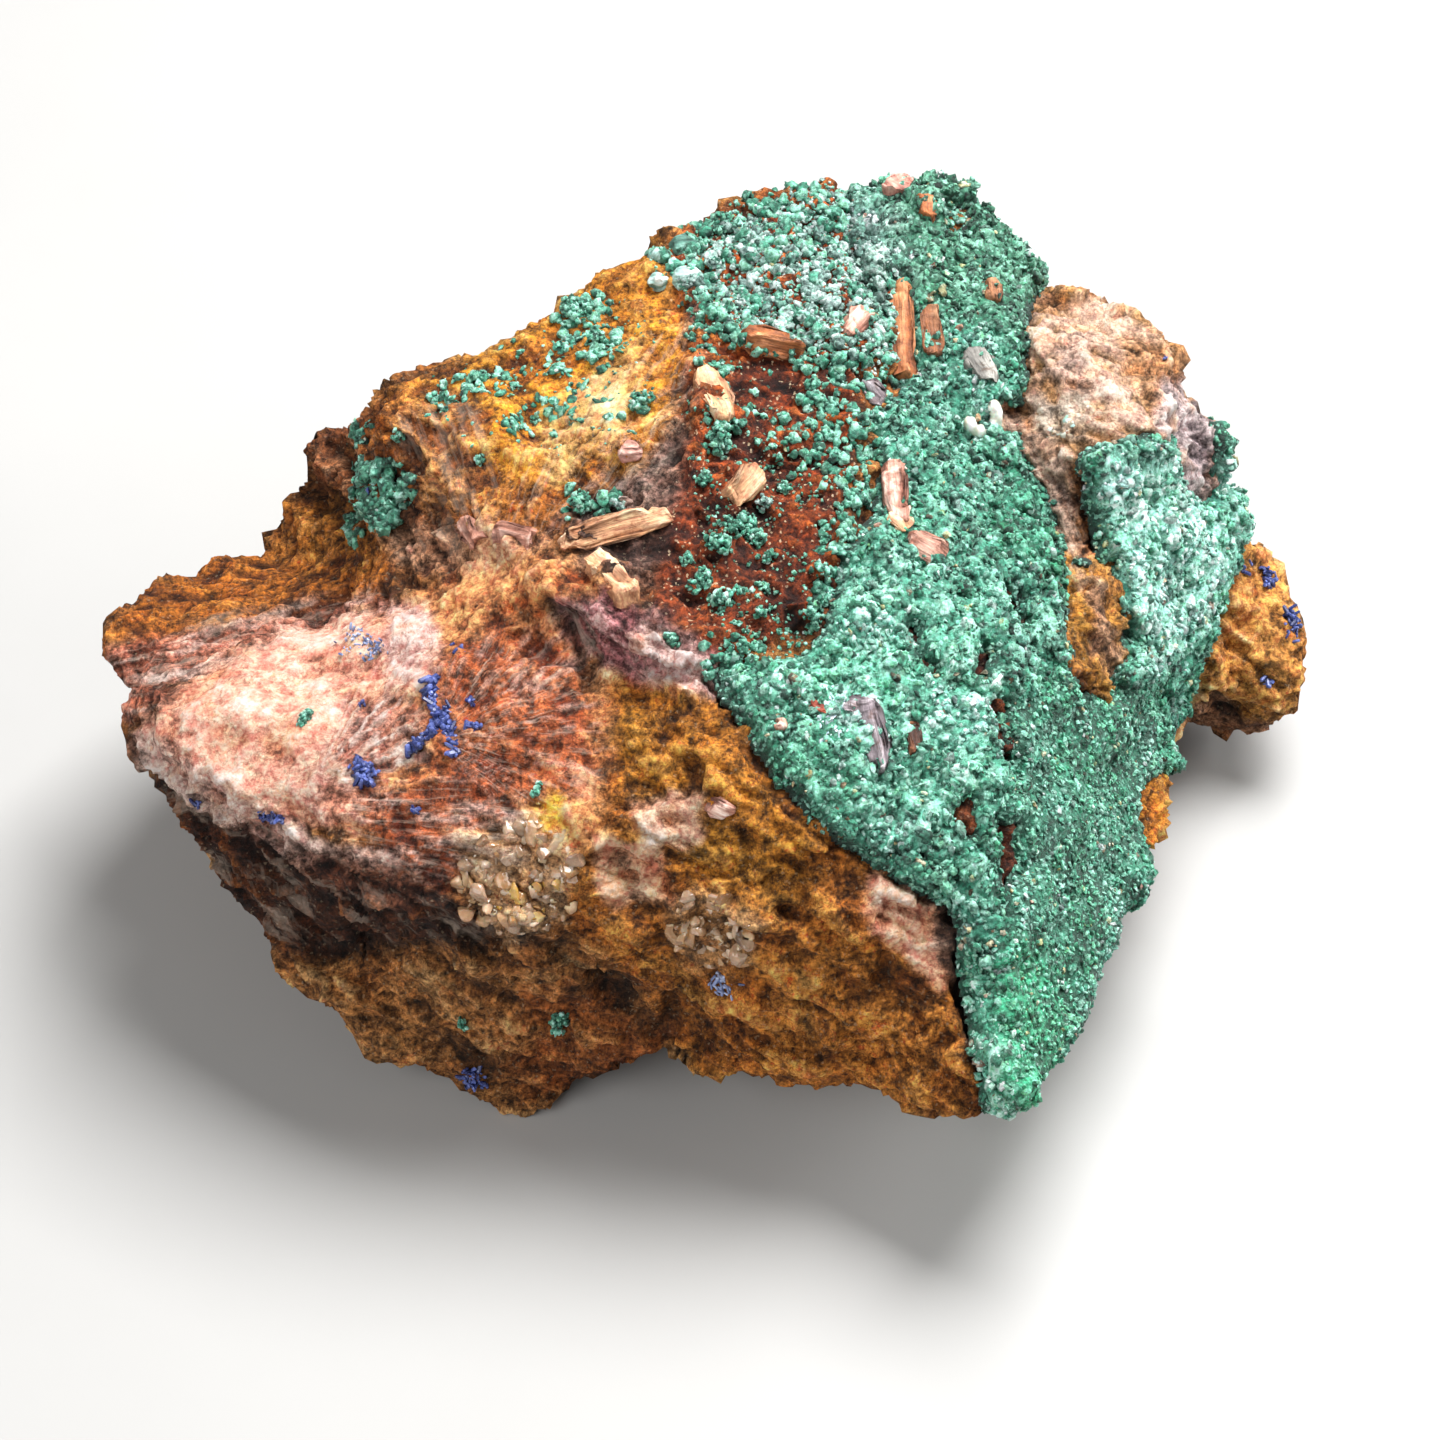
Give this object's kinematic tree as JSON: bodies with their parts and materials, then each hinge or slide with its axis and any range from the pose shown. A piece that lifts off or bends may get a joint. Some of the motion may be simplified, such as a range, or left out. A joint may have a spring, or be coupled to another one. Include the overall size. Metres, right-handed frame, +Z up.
{
  "type": "azurite specimen",
  "caption": "Hand specimen of copper ore: iron-stained rock with a green malachite crust and small blue azurite crystal clusters, resting on its flat underside.",
  "frame": {"origin": "middle of the bounding box at the level of the seat, the flat underside the rock rests on", "axes": "+X along the longest extent, from the ochre-brown tip to the green side; +Y from the overhanging lower edge to the high crest at the back; +Z up"},
  "size_m": [0.0904, 0.0774, 0.0383],
  "materials": {
    "matrix": "rough",
    "malachite": "rough",
    "azurite": "satin"
  },
  "bodies": {
    "root": {"matrix_rock": "matrix", "malachite_crust": "malachite", "azurite_spray": "azurite", "azurite_knob": "azurite", "azurite_patch": "azurite", "azurite_ridge": "azurite", "azurite_foot": "azurite", "azurite_lobe_high": "azurite", "azurite_lobe_low": "azurite"}
  },
  "joints": []
}
